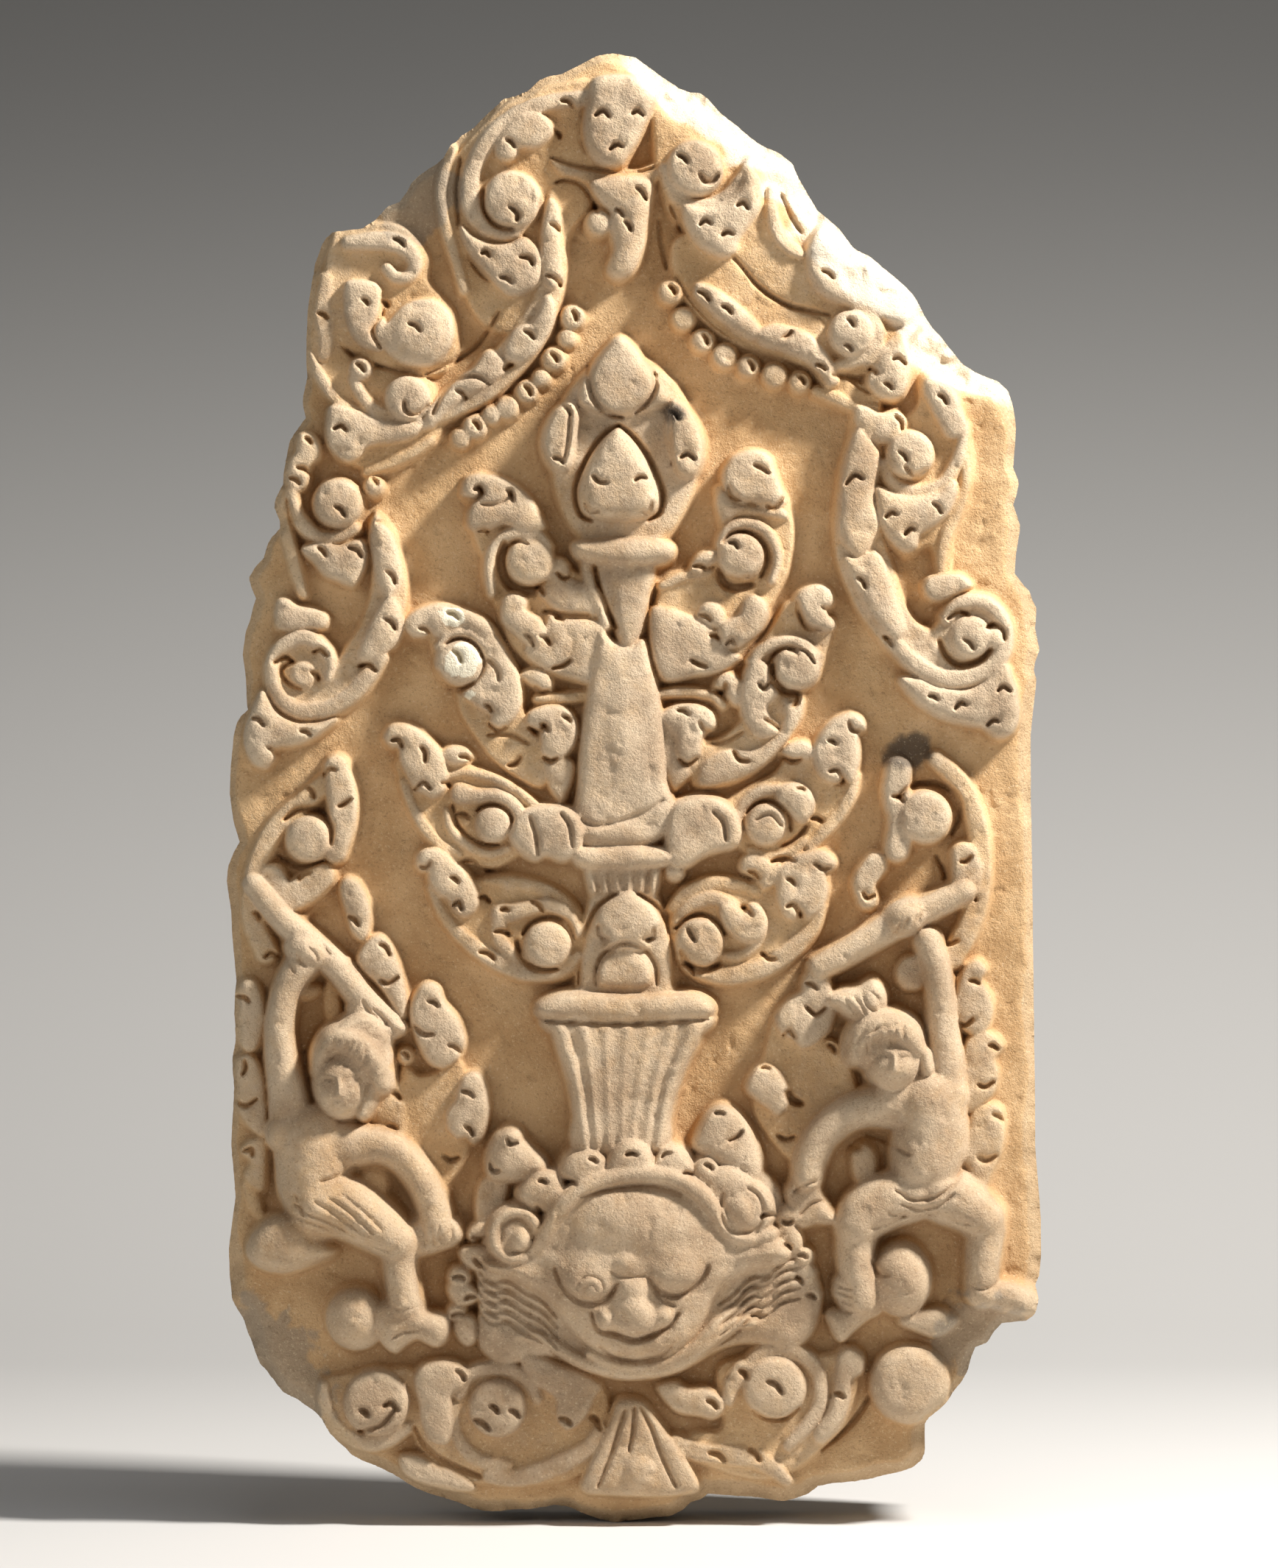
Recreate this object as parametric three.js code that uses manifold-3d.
import * as THREE from "three";
import Module from "manifold-3d";
import { mergeVertices } from "three/addons/utils/BufferGeometryUtils.js";

// Carved sandstone relief panel, in millimetres. x runs to the right across the carved
// face, z runs up and the carving faces -y. The origin is the middle of the flat back,
// which rests on the wall or the mount.

// Driving dimensions
const SLAB = 80; // thickness of the stone behind the carved ground
const ROOT = 6; // how far each carved form runs down into the slab
const SLAB_BEVEL = 6; // worn edge round the front of the slab
const ARRIS = 3.5; // softened upper edge of every carved form
const FLUTES = 7; // ribs round the vase
const FACET = 3; // how far a facet may stray from the smooth curve it stands for

// Heights above the carved ground
const VEIN = 9;
const STEM = 14;
const FIELD = 15;
const BAND = 17;
const LEAF = 20;
const SCROLL = 23;
const FLUTE_FACE = 31;

// Outline of the broken slab, clockwise from the apex
const RIGHT_SHOULDER = [
  [0, 503], [20, 489], [45, 479], [60, 464], [80, 448], [108, 431], [118, 411], [130, 394],
  [152, 371], [180, 351], [203, 319], [225, 293], [248, 282], [258, 265],
];
const RIGHT_SIDE = [
  [260, 250], [258, 222], [262, 212], [258, 197], [263, 182], [259, 150], [271, 132], [276, 98],
  [272, 84], [270, 40], [271, -60], [273, -240], [277, -300], [272, -351],
];
const FOOT = [
  [250, -361], [232, -377], [223, -400], [200, -424], [198, -450], [180, -463], [125, -473],
  [102, -483], [50, -478], [33, -489], [0, -496], [-35, -491], [-55, -485.5], [-102, -490],
  [-140, -478], [-185, -455.5], [-208, -434], [-240, -409], [-264, -370],
];
const LEFT_SIDE = [
  [-277, -330], [-272, -275], [-275, -240], [-271, -150], [-278, -60], [-269, -33], [-276, 0],
  [-271, 48], [-263, 57], [-267, 95], [-258, 133], [-263, 147], [-253, 160], [-241, 180],
  [-244, 200], [-237, 230], [-224, 256],
];
const LEFT_SHOULDER = [
  [-223, 310], [-218, 360], [-205, 382], [-185, 384], [-152, 416], [-130, 431.5], [-118, 448],
  [-100, 463], [-90, 473], [-73, 478], [-58, 489], [-40, 495], [-15, 505],
];

const wasm = await Module();
wasm.setup();

const forms = [];

// A closed geometry becomes a solid whose coincident vertices are shared.
function toSolid(geometry) {
  const plain = geometry.clone();
  plain.deleteAttribute("normal");
  plain.deleteAttribute("uv");
  const merged = mergeVertices(plain, 1e-4);
  return new wasm.Manifold(
    new wasm.Mesh({
      numProp: 3,
      vertProperties: Float32Array.from(merged.attributes.position.array),
      triVerts: Uint32Array.from(merged.index.array),
    }),
  );
}

// Keep only the points of a line that it needs to stay within FACET of its course.
function thinned(line) {
  if (line.length < 3) {
    return line;
  }
  const chord = new THREE.Line3(line[0], line[line.length - 1]);
  const foot = new THREE.Vector3();
  let worst = 0;
  let split = 0;
  for (let i = 1; i + 1 < line.length; i += 1) {
    chord.closestPointToPoint(line[i], true, foot);
    const stray = foot.distanceTo(line[i]);
    if (stray > worst) {
      worst = stray;
      split = i;
    }
  }
  if (worst < FACET) {
    return [line[0], line[line.length - 1]];
  }
  return [...thinned(line.slice(0, split + 1)).slice(0, -1), ...thinned(line.slice(split))];
}

// Closed smooth outline through the given points, as a list of Vector2.
function smoothOutline(points) {
  const knots = points.map(([x, z]) => new THREE.Vector3(x, z, 0));
  const curve = new THREE.CatmullRomCurve3(knots, true, "catmullrom", 0.5);
  const line = curve.getPoints(4 * points.length);
  const half = 2 * points.length;
  const outline = [...thinned(line.slice(0, half + 1)).slice(0, -1), ...thinned(line.slice(half))];
  outline.pop();
  return outline.map((p) => new THREE.Vector2(p.x, p.y));
}

// Extrude an outline of the front view from y = -from out to y = -to. Both ends taper in
// by the inset over the last of the depth.
function extrudeForward(outline, from, to, taper, inset) {
  const geometry = new THREE.ExtrudeGeometry(new THREE.Shape(outline), {
    depth: to - from - 2 * taper,
    bevelEnabled: true,
    bevelThickness: taper,
    bevelSize: inset,
    bevelOffset: -inset,
    bevelSegments: 1,
  });
  geometry.translate(0, 0, from + taper);
  geometry.rotateX(Math.PI / 2);
  return geometry;
}

// Raised field with a closed outline and a flat top.
function plate(height, ...points) {
  const outline = smoothOutline(points);
  const buried = SLAB - ROOT - height;
  forms.push(toSolid(extrudeForward(outline, buried, SLAB + height, height, ARRIS)));
}

// Rings of a section, swept along a smooth path of [x, z, radius], closed by smaller end rings.
function sweep(path, section) {
  const knots = path.map(([x, z, r]) => new THREE.Vector3(x, z, r));
  const curve = new THREE.CatmullRomCurve3(knots, false, "catmullrom", 0.5);
  const line = thinned(curve.getPoints(4 * (knots.length - 1)));
  const spans = line.length - 1;
  const rings = line.map((p, i) => {
    const before = line[Math.max(0, i - 1)];
    const after = line[Math.min(spans, i + 1)];
    const along = new THREE.Vector2(after.x - before.x, after.y - before.y).normalize();
    return { x: p.x, z: p.y, r: p.z, along };
  });
  const first = rings[0];
  const last = rings[spans];
  const cap = (ring, way) => ({
    x: ring.x + way * 0.75 * ring.r * ring.along.x,
    z: ring.z + way * 0.75 * ring.r * ring.along.y,
    r: 0.6 * ring.r,
    along: ring.along,
  });
  rings.unshift(cap(first, -1));
  rings.push(cap(last, 1));
  const positions = [];
  for (const { x, z, r, along } of rings) {
    for (const [across, height] of section(r)) {
      positions.push(x - along.y * across, -(SLAB + height), z + along.x * across);
    }
  }
  const n = section(1).length;
  const index = [];
  for (let i = 0; i + 1 < rings.length; i += 1) {
    for (let k = 0; k < n; k += 1) {
      const a = i * n + k;
      const b = i * n + ((k + 1) % n);
      index.push(a, b, a + n, b, b + n, a + n);
    }
  }
  const end = (rings.length - 1) * n;
  for (let k = 1; k + 1 < n; k += 1) {
    index.push(0, k + 1, k);
    index.push(end, end + k, end + k + 1);
  }
  const geometry = new THREE.BufferGeometry();
  geometry.setAttribute("position", new THREE.Float32BufferAttribute(positions, 3));
  geometry.setIndex(index);
  forms.push(toSolid(geometry));
}

// Leaf, band or stem: leaning sides and a flat top.
function stroke(height, ...path) {
  sweep(path, (r) => {
    const top = r - Math.min(ARRIS, 0.4 * r);
    return [[r, -ROOT], [top, height], [-top, height], [-r, -ROOT]];
  });
}

// Arm, leg, torso or staff: a half-round section standing on straight sides.
function limb(height, ...path) {
  sweep(path, (r) => {
    const drop = Math.min(0.7 * r, height - 6);
    return [
      [r, -ROOT], [r, height - drop], [0.4 * r, height], [-0.4 * r, height],
      [-r, height - drop], [-r, -ROOT],
    ];
  });
}

// Round scroll eye, bead or boss with a softened rim.
function disc(height, x, z, r) {
  const top = r - Math.min(ARRIS, 0.4 * r);
  const profile = [
    new THREE.Vector2(0, -ROOT),
    new THREE.Vector2(r, -ROOT),
    new THREE.Vector2(top, height),
    new THREE.Vector2(0, height + 0.06 * r),
  ];
  const sides = r > 16 ? 10 : r > 12 ? 8 : 6;
  const geometry = new THREE.LatheGeometry(profile, sides);
  geometry.rotateX(Math.PI / 2);
  geometry.translate(x, -SLAB, z);
  forms.push(toSolid(geometry));
}

// Row of small lobes along an edge.
function scallops(height, ...lobes) {
  for (const [x, z, r] of lobes) {
    disc(height, x, z, r);
  }
}

// Swelling form: half of an ellipsoid rising from the ground.
function dome(height, x, z, rx, rz) {
  const geometry = new THREE.SphereGeometry(1, 8, 6);
  geometry.scale(rx, height, rz);
  geometry.translate(x, -SLAB, z);
  forms.push(toSolid(geometry));
}

// Fluted body of the vase: a half cone of ribs that narrows from the rim to the foot.
function flutedBody(rim, foot) {
  const positions = [];
  const steps = 2 * FLUTES;
  for (const ring of [rim, foot]) {
    positions.push(ring.x + ring.r, ROOT - SLAB, ring.z);
    for (let k = 0; k <= steps; k += 1) {
      const angle = (Math.PI * k) / steps;
      const rib = k % 2 === 1 ? 1 : 0.9;
      const out = ring.depth * (0.25 + 0.75 * Math.sqrt(Math.sin(angle)));
      positions.push(ring.x + ring.r * Math.cos(angle), -SLAB - rib * out, ring.z);
    }
    positions.push(ring.x - ring.r, ROOT - SLAB, ring.z);
  }
  const n = steps + 3;
  const index = [];
  for (let k = 0; k < n; k += 1) {
    const next = (k + 1) % n;
    index.push(k, next, k + n, next, next + n, k + n);
  }
  for (let k = 1; k + 1 < n; k += 1) {
    index.push(0, k + 1, k);
    index.push(n, n + k, n + k + 1);
  }
  const geometry = new THREE.BufferGeometry();
  geometry.setAttribute("position", new THREE.Float32BufferAttribute(positions, 3));
  geometry.setIndex(index);
  forms.push(toSolid(geometry));
}

// Left half of the leafy arch: stems, scrolls and curling leaves, from the apex down.
function upperLeftArch() {
  stroke(
    BAND, [-30, 474, 5], [-60, 470, 5], [-82, 462, 5], [-98, 447, 6], [-109, 430, 7],
    [-113, 412, 8], [-112, 396, 8], [-103, 383, 7], [-88, 379, 5], [-74, 385, 4],
  );
  disc(SCROLL, -83, 402, 20);
  stroke(LEAF, [-65, 450, 10], [-77, 449, 11], [-86, 437, 7]);
  stroke(LEAF, [-108, 373, 8], [-92, 361, 12], [-78, 354, 13], [-85, 346, 7]);
  stroke(LEAF, [-8, 478, 19], [-12, 460, 19], [-19, 445, 14], [-17, 434, 9]);
  stroke(LEAF, [-9, 408, 17], [-5, 388, 13], [-5, 370, 10], [-11, 355, 6]);
  stroke(BAND, [-192, 374, 6], [-165, 373, 7], [-151, 362, 6], [-153, 353, 5], [-161, 350, 5]);
  stroke(BAND, [-181, 338, 12], [-178, 320, 14], [-165, 308, 14], [-148, 309, 16]);
  disc(SCROLL, -145, 312, 20);
  stroke(
    BAND, [-56, 404, 7], [-55, 385, 8], [-56, 360, 9], [-62, 338, 13], [-72, 318, 14],
    [-88, 300, 11], [-100, 287, 9],
  );
  stroke(BAND, [-103, 275, 7], [-119, 272, 11], [-132, 260, 7], [-137, 246, 5]);
  scallops(
    STEM, [-42, 322, 9], [-46, 308, 7], [-55, 294, 9], [-63, 281, 7], [-74, 272, 8],
    [-86, 262, 8], [-97, 256, 7], [-108, 249, 9], [-118, 241, 7],
  );
  disc(SCROLL, -154, 268, 15);
  stroke(FIELD, [-187, 285, 8], [-184, 270, 6], [-172, 256, 5], [-158, 248, 5], [-140, 246, 5]);
  stroke(BAND, [-196, 245, 12], [-192, 235, 9], [-187, 231, 6]);
  stroke(BAND, [-192, 246, 11], [-175, 243, 8], [-150, 247, 4]);
  stroke(BAND, [-222, 236, 8], [-224, 225, 8], [-229, 213, 7]);
  disc(SCROLL, -201, 197, 16);
  stroke(FIELD, [-231, 203, 6], [-227, 188, 6], [-216, 177, 5], [-203, 173, 5], [-190, 179, 5]);
  stroke(BAND, [-213, 166, 9], [-200, 158, 11], [-190, 150, 8]);
  stroke(STEM, [-243, 200, 6], [-241, 180, 7], [-236, 160, 7], [-230, 140, 8]);
  stroke(
    BAND, [-173, 180, 8], [-170, 162, 12], [-168, 140, 14], [-170, 120, 12], [-180, 100, 11],
    [-193, 78, 9], [-209, 64, 8], [-228, 63, 7], [-240, 76, 7], [-241, 92, 6], [-228, 103, 7],
    [-212, 98, 6],
  );
  disc(LEAF, -226, 83, 12);
  stroke(BAND, [-212, 48, 7], [-232, 45, 12], [-247, 44, 14], [-253, 31, 9]);
}

// Right half of the leafy arch, with its long crescent band.
function upperRightArch() {
  disc(SCROLL, 41, 424, 19);
  stroke(BAND, [19, 422, 5], [28, 402, 5], [44, 396, 5], [60, 400, 6], [74, 412, 6], [82, 428, 6]);
  stroke(LEAF, [68, 408, 13], [56, 392, 17], [57, 377, 12], [64, 372, 7]);
  stroke(STEM, [88, 398, 6], [84, 380, 8], [90, 362, 10], [105, 346, 9], [125, 335, 6]);
  plate(
    BAND, [114, 365], [117, 376], [130, 388], [150, 368], [178, 350], [192, 332], [184, 318],
    [165, 323], [142, 330], [122, 346],
  );
  disc(SCROLL, 147, 312, 15);
  stroke(
    BAND, [150, 331, 5], [164, 322, 6], [167, 309, 6], [160, 297, 6], [146, 289, 5],
    [134, 287, 5],
  );
  stroke(BAND, [177, 299, 8], [173, 285, 12], [176, 275, 7]);
  stroke(BAND, [43, 345, 7], [60, 330, 8], [77, 314, 7]);
  stroke(BAND, [85, 308, 7], [100, 309, 8], [116, 304, 8], [127, 295, 8], [132, 282, 6]);
  plate(
    VEIN, [27, 374], [27, 352], [40, 331], [62, 311], [92, 298], [120, 288], [130, 276],
    [143, 288], [131, 322], [104, 330], [84, 343], [66, 364], [40, 385],
  );
  scallops(
    STEM, [23, 338, 9], [34, 320, 8], [46, 306, 8], [61, 296, 9], [77, 289, 8], [95, 284, 9],
    [112, 279, 8],
  );
  stroke(BAND, [158, 256, 8], [165, 248, 9], [176, 250, 7]);
  disc(SCROLL, 187, 230, 16);
  stroke(
    FIELD, [168, 218, 5], [180, 206, 5], [198, 204, 6], [212, 212, 5], [219, 230, 5],
    [221, 246, 5],
  );
  stroke(LEAF, [197, 198, 16], [181, 189, 16], [185, 173, 8]);
  stroke(BAND, [206, 273, 9], [212, 260, 9], [217, 248, 6]);
  stroke(
    BAND, [157, 246, 8], [152, 222, 12], [150, 198, 14], [152, 174, 16], [158, 152, 18],
    [167, 132, 18], [182, 110, 16], [198, 93, 12], [215, 83, 9], [234, 83, 8], [248, 95, 8],
    [251, 112, 7], [242, 126, 7], [226, 129, 7],
  );
  disc(SCROLL, 229, 107, 17);
  stroke(BAND, [194, 72, 8], [213, 65, 12], [236, 63, 15], [247, 57, 13], [249, 46, 7]);
}

// Lotus bud, its collar, the broken shaft and the fluted vase it grows from.
function budAndColumn() {
  stroke(
    SCROLL, [-10, 303, 5], [-8, 284, 19], [-7, 256, 42], [-7, 226, 51], [-9, 202, 42],
    [-11, 190, 24],
  );
  stroke(29, [-9, 296, 7], [-9, 280, 18], [-9, 264, 23]);
  stroke(33, [-11, 238, 7], [-11, 223, 20], [-11, 207, 27], [-11, 197, 21]);
  stroke(26, [-49, 256, 8], [-50, 240, 10], [-46, 222, 9]);
  stroke(26, [28, 257, 8], [33, 240, 11], [31, 224, 10]);
  stroke(27, [-31, 165, 8], [16, 165, 8]);
  stroke(SCROLL, [-6, 150, 22], [-5, 133, 16], [-5, 115, 14]);
  stroke(
    LEAF, [-8, 104, 14], [-9, 80, 19], [-9, 50, 25], [-9, 20, 28], [-9, -4, 30], [-8, -22, 22],
  );
  stroke(SCROLL, [-67, -25, 9], [-57, -20, 12], [-44, -26, 11]);
  stroke(SCROLL, [61, -23, 10], [50, -18, 13], [35, -25, 11]);
  stroke(27, [-34, -44, 7], [16, -44, 7]);
  stroke(SCROLL, [-9, -55, 22], [-8, -85, 27], [-7, -108, 33], [-6, -128, 34]);
  stroke(33, [-54, -144, 10], [-30, -143, 10], [15, -143, 10], [41, -144, 9]);
  flutedBody({ x: -5, z: -148, r: 54, depth: 32 }, { x: -9, z: -243, r: 29, depth: 30 });
}

// Four curling fronds on the left of the shaft, top to bottom.
function frondsLeft() {
  plate(
    FIELD, [-64, 180], [-78, 205], [-95, 213], [-112, 213], [-111, 184], [-107, 168], [-99, 142],
    [-86, 104], [-68, 86], [-28, 74], [-20, 100], [-30, 140], [-48, 160],
  );
  stroke(LEAF, [-70, 192, 8], [-84, 199, 11], [-100, 205, 10], [-113, 206, 8]);
  disc(SCROLL, -71, 157, 15);
  plate(
    FIELD, [-152, 120], [-130, 127], [-105, 120], [-90, 104], [-78, 86], [-77, 64], [-92, 44],
    [-60, 50], [-45, 34], [-47, -6], [-66, 4], [-86, 14], [-104, 32], [-118, 56], [-136, 92],
    [-142, 110],
  );
  stroke(LEAF, [-98, 108, 9], [-114, 115, 10], [-132, 118, 9], [-148, 115, 7]);
  disc(SCROLL, -118, 88, 15);
  stroke(LEAF, [-66, 49, 8], [-55, 38, 11], [-50, 20, 7], [-48, 4, 4]);
  plate(
    FIELD, [-167, 40], [-155, 46], [-142, 37], [-131, 20], [-115, 26], [-88, 4], [-66, -8],
    [-70, -34], [-90, -50], [-122, -46], [-140, -36], [-150, -14], [-160, 8], [-161, 24],
  );
  stroke(LEAF, [-163, 34, 7], [-152, 30, 12], [-143, 14, 11], [-138, 2, 6]);
  disc(SCROLL, -95, -20, 13);
  plate(
    FIELD, [-146, -45], [-128, -42], [-112, -56], [-95, -56], [-62, -58], [-40, -72], [-32, -92],
    [-34, -120], [-55, -128], [-84, -124], [-110, -102], [-130, -82], [-139, -62],
  );
  stroke(LEAF, [-142, -47, 7], [-128, -55, 12], [-120, -68, 11], [-116, -79, 6]);
  disc(SCROLL, -60, -103, 16);
}

// Four curling fronds on the right of the shaft, top to bottom.
function frondsRight() {
  plate(
    FIELD, [60, 180], [58, 208], [68, 224], [92, 228], [99, 205], [107, 186], [107, 166],
    [97, 138], [84, 108], [62, 84], [22, 76], [12, 100], [22, 140], [42, 160],
  );
  stroke(LEAF, [66, 196, 9], [74, 212, 13], [85, 222, 9]);
  disc(SCROLL, 71, 160, 15);
  plate(
    FIELD, [112, 118], [114, 134], [128, 140], [134, 118], [125, 102], [127, 86], [113, 68],
    [106, 42], [90, 25], [66, 8], [40, 2], [24, 10], [22, 30], [44, 56], [70, 50], [74, 78],
    [88, 98],
  );
  stroke(LEAF, [120, 128, 10], [124, 118, 9], [112, 110, 8], [100, 100, 7]);
  disc(SCROLL, 112, 86, 14);
  stroke(LEAF, [48, 50, 8], [36, 38, 11], [30, 22, 7], [30, 10, 5]);
  plate(
    FIELD, [124, 32], [136, 48], [150, 53], [150, 22], [144, -4], [128, -26], [118, -40],
    [92, -48], [70, -34], [62, -10], [84, 0], [104, 26], [118, 26],
  );
  stroke(LEAF, [150, 44, 8], [139, 36, 12], [137, 20, 10], [135, 12, 6]);
  disc(SCROLL, 90, -20, 14);
  plate(
    FIELD, [103, -48], [124, -41], [133, -50], [130, -75], [120, -100], [97, -121], [62, -130],
    [32, -120], [24, -92], [34, -70], [60, -58], [90, -60],
  );
  stroke(LEAF, [129, -47, 7], [115, -54, 13], [107, -68, 11], [108, -80, 6]);
  disc(SCROLL, 43, -102, 15);
}

// Left dancer under a frond, with staff, raised arm and bent leg.
function leftDancerGroup() {
  stroke(
    STEM, [-200, 15, 7], [-218, 0, 7], [-243, -22, 7], [-257, -50, 7], [-260, -82, 7],
    [-250, -108, 8],
  );
  stroke(LEAF, [-202, 18, 8], [-199, 0, 10], [-198, -18, 9], [-203, -40, 7]);
  disc(SCROLL, -221, -31, 15);
  stroke(BAND, [-246, -56, 8], [-238, -70, 10], [-225, -66, 10], [-212, -56, 9]);
  stroke(BAND, [-192, -68, 7], [-188, -84, 8], [-180, -102, 7]);
  stroke(BAND, [-174, -104, 8], [-168, -124, 12], [-170, -142, 8]);
  stroke(BAND, [-142, -138, 8], [-130, -152, 11], [-124, -170, 8]);
  stroke(
    BAND, [-113, -198, 8], [-112, -215, 10], [-119, -230, 11], [-126, -250, 11], [-133, -266, 7],
  );
  stroke(FIELD, [-263, -134, 6], [-262, -152, 10], [-262, -170, 6]);
  stroke(FIELD, [-262, -186, 7], [-261, -206, 10], [-261, -226, 6]);
  stroke(FIELD, [-258, -242, 7], [-257, -262, 10], [-258, -284, 5]);
  limb(
    26, [-258, -62, 7], [-240, -86, 8], [-220, -104, 8], [-200, -122, 8], [-178, -143, 8],
    [-158, -160, 8],
  );
  stroke(30, [-232, -104, 10], [-216, -114, 10]);
  limb(30, [-232, -228, 11], [-240, -202, 10], [-243, -172, 9], [-240, -142, 9], [-233, -116, 9]);
  plate(
    SCROLL, [-243, -278], [-218, -274], [-190, -282], [-158, -300], [-160, -320], [-200, -318],
    [-232, -322], [-258, -318], [-259, -304], [-250, -290],
  );
  limb(38, [-224, -228, 22], [-222, -248, 25], [-217, -270, 24], [-212, -288, 22]);
  limb(34, [-210, -286, 16], [-188, -294, 16], [-165, -302, 14]);
  limb(32, [-163, -302, 12], [-160, -325, 10], [-157, -346, 10]);
  stroke(26, [-160, -350, 10], [-160, -362, 11], [-142, -360, 9], [-136, -354, 9]);
  limb(
    30, [-200, -228, 11], [-178, -234, 10], [-158, -246, 10], [-144, -266, 10], [-136, -292, 11],
  );
  limb(28, [-240, -298, 12], [-250, -308, 10], [-232, -316, 9]);
  disc(SCROLL, -190, -355, 21);
  dome(49, -198, -192, 20, 28);
  limb(34, [-186, -158, 9], [-170, -162, 11], [-164, -170, 7]);
}

// Right dancer under a frond, with staff, raised arm and spread legs.
function rightDancerGroup() {
  stroke(
    STEM, [205, 23, 6], [222, 6, 7], [233, -22, 7], [235, -55, 8], [229, -86, 8], [216, -112, 8],
  );
  stroke(LEAF, [179, 16, 8], [178, 0, 9], [182, -18, 9], [178, -38, 8]);
  disc(SCROLL, 197, -16, 17);
  stroke(BAND, [224, -42, 9], [226, -58, 11], [220, -70, 8]);
  stroke(BAND, [164, -48, 8], [156, -60, 8], [158, -72, 7]);
  limb(26, [125, -118, 9], [147, -104, 9], [170, -92, 9], [198, -79, 8], [222, -70, 7]);
  disc(31, 184, -90, 13);
  limb(30, [197, -104, 10], [206, -124, 9], [208, -150, 9], [210, -180, 10], [208, -206, 12]);
  limb(34, [140, -146, 9], [152, -145, 12], [164, -140, 11]);
  dome(49, 174, -178, 20, 27);
  limb(38, [203, -204, 22], [203, -225, 23], [198, -250, 24], [196, -262, 22]);
  plate(
    SCROLL, [168, -262], [190, -270], [216, -262], [242, -284], [246, -302], [206, -300],
    [176, -306], [146, -302], [144, -286],
  );
  limb(30, [180, -206, 12], [158, -213, 10], [140, -224, 10], [126, -244, 10], [116, -268, 10]);
  limb(34, [194, -278, 16], [172, -284, 16], [152, -288, 14]);
  limb(32, [150, -296, 12], [150, -315, 10], [150, -334, 10]);
  stroke(26, [146, -342, 10], [140, -356, 9], [148, -360, 8]);
  limb(34, [212, -278, 15], [228, -286, 14], [238, -296, 12]);
  limb(32, [238, -302, 11], [238, -320, 10], [238, -336, 10]);
  stroke(26, [238, -340, 8], [254, -343, 8], [266, -346, 7]);
  disc(SCROLL, 182, -330, 21);
  stroke(STEM, [116, -128, 8], [103, -155, 9], [94, -180, 9], [90, -210, 9], [98, -236, 8]);
  stroke(BAND, [121, -126, 8], [112, -145, 9], [110, -158, 9], [126, -160, 8]);
  stroke(BAND, [232, -124, 7], [232, -140, 9], [228, -156, 7]);
  stroke(BAND, [236, -168, 8], [239, -186, 9], [233, -208, 7]);
  stroke(BAND, [240, -220, 8], [242, -240, 9], [237, -260, 6]);
}

// Guardian mask below the vase: brow, crown of beads, eyes, nose, cheeks and jaw.
function kala() {
  plate(
    BAND, [-102, -250], [-60, -240], [0, -234], [58, -238], [86, -254], [104, -290], [122, -325],
    [122, -350], [100, -376], [70, -376], [30, -392], [-30, -392], [-70, -380], [-100, -386],
    [-122, -352], [-112, -315], [-104, -285],
  );
  plate(27, [-97, -237], [-85, -228], [-62, -248], [-78, -258], [-104, -262]);
  plate(27, [43, -230], [58, -213], [75, -226], [80, -250], [60, -250]);
  scallops(
    37, [-50, -252, 8], [-34, -250, 9], [-19, -251, 7], [-2, -246, 11], [14, -251, 7],
    [29, -249, 9], [47, -253, 8],
  );
  disc(35, -62, -268, 13);
  disc(35, 70, -282, 13);
  disc(34, -82, -301, 17);
  limb(
    42, [-55, -292, 6], [-42, -276, 6], [-24, -264, 6], [0, -259, 6], [20, -259, 6],
    [40, -268, 6], [58, -285, 6],
  );
  dome(50, 0, -292, 46, 28);
  dome(47, -31, -329, 20, 13);
  dome(47, 30, -324, 20, 14);
  dome(44, 0, -362, 42, 26);
  limb(54, [0, -312, 11], [0, -332, 10], [0, -348, 15]);
  plate(
    35, [-105, -324], [-72, -332], [-54, -352], [-62, -374], [-84, -386], [-104, -380],
    [-114, -352],
  );
  plate(35, [101, -314], [68, -322], [53, -340], [58, -362], [84, -375], [108, -368], [122, -340]);
  limb(
    43, [-76, -356, 6], [-58, -360, 6], [-38, -372, 6], [-16, -383, 6], [6, -385, 6],
    [30, -378, 6], [52, -364, 6], [74, -355, 6],
  );
}

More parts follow.
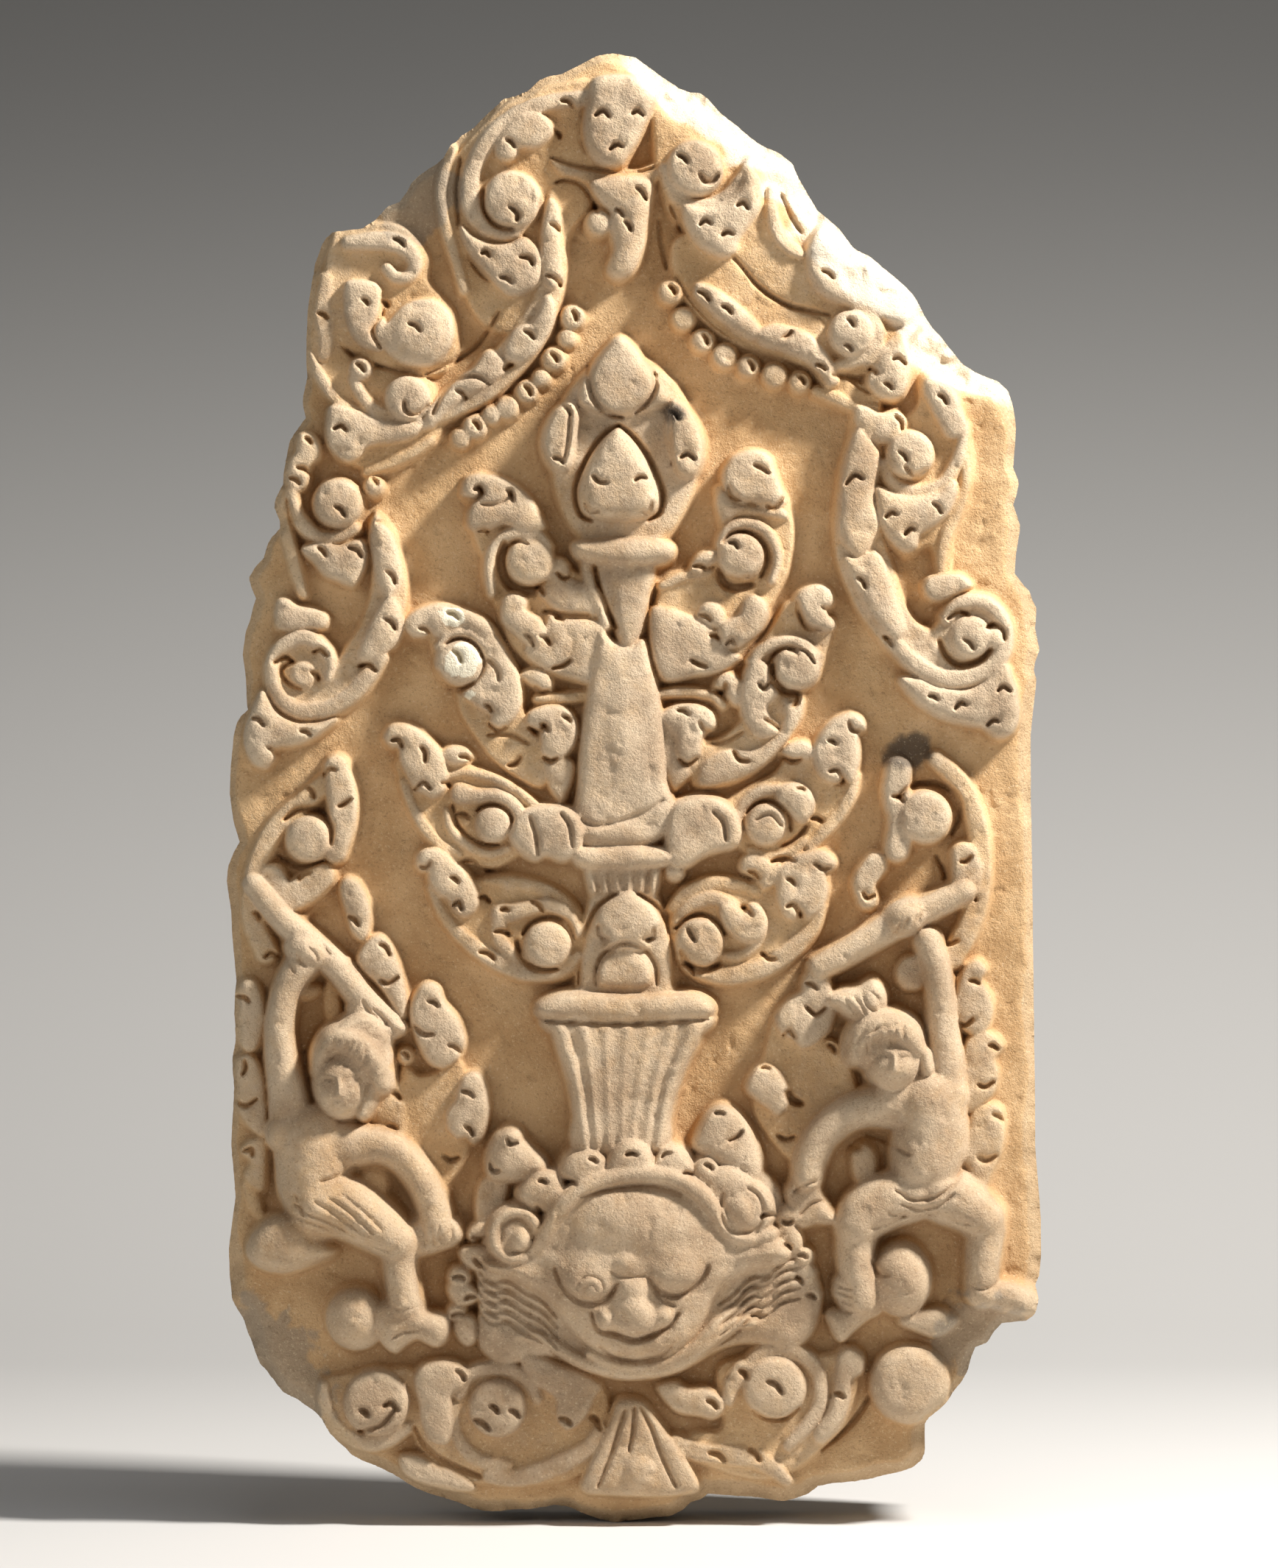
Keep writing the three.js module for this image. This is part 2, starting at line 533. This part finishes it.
// Curling foliage under the mask, down to the broken foot.
function bottomFoliage() {
  disc(SCROLL, -175, -413, 23);
  stroke(
    FIELD, [-211, -402, 7], [-206, -424, 8], [-190, -444, 8], [-168, -447, 7], [-155, -436, 6],
  );
  stroke(LEAF, [-136, -398, 11], [-122, -396, 11], [-112, -402, 7]);
  stroke(BAND, [-137, -412, 9], [-133, -430, 9], [-124, -444, 8], [-104, -462, 6]);
  disc(SCROLL, -93, -418, 20);
  stroke(
    BAND, [-122, -404, 6], [-104, -391, 6], [-84, -391, 6], [-68, -402, 7], [-52, -418, 7],
    [-34, -424, 8], [-24, -408, 6],
  );
  stroke(BAND, [-88, -462, 6], [-66, -458, 8], [-44, -449, 8], [-26, -436, 8]);
  plate(LEAF, [-10, -410], [-24, -440], [-37, -474], [45, -474], [34, -450], [12, -420]);
  stroke(BAND, [22, -408, 9], [36, -413, 9], [52, -415, 8]);
  stroke(
    BAND, [60, -412, 7], [68, -392, 7], [88, -379, 6], [110, -381, 6], [124, -396, 6],
    [125, -418, 7], [110, -438, 8],
  );
  disc(SCROLL, 95, -404, 21);
  stroke(BAND, [147, -387, 9], [145, -402, 9], [138, -420, 8], [122, -438, 7]);
  disc(SCROLL, 187, -401, 27);
}
const outline = [RIGHT_SHOULDER, RIGHT_SIDE, FOOT, LEFT_SIDE, LEFT_SHOULDER]
  .flat()
  .map(([x, z]) => new THREE.Vector2(x, z));
const slab = toSolid(extrudeForward(outline, -SLAB_BEVEL, SLAB, SLAB_BEVEL, SLAB_BEVEL));
const wall = new THREE.BoxGeometry(800, 40, 1200);
wall.translate(0, 20, 0);

upperLeftArch();
upperRightArch();
budAndColumn();
frondsLeft();
frondsRight();
leftDancerGroup();
rightDancerGroup();
kala();
bottomFoliage();

let stone = slab;
for (const form of forms) {
  stone = stone.add(form);
}
const room = toSolid(extrudeForward(outline, -SLAB_BEVEL, SLAB + 120, 1, 0));
stone = stone.intersect(room).subtract(toSolid(wall));

const carved = stone.getMesh();
const geometry = new THREE.BufferGeometry();
geometry.setAttribute("position", new THREE.BufferAttribute(carved.vertProperties, 3));
geometry.setIndex(new THREE.BufferAttribute(carved.triVerts, 1));

const sandstone = new THREE.MeshStandardMaterial({ color: 0xc4aa80, roughness: 0.94, metalness: 0 });
const panel = new THREE.Mesh(geometry, sandstone);
panel.name = "relief_panel";

const group = new THREE.Group();
group.add(panel);

export default group;
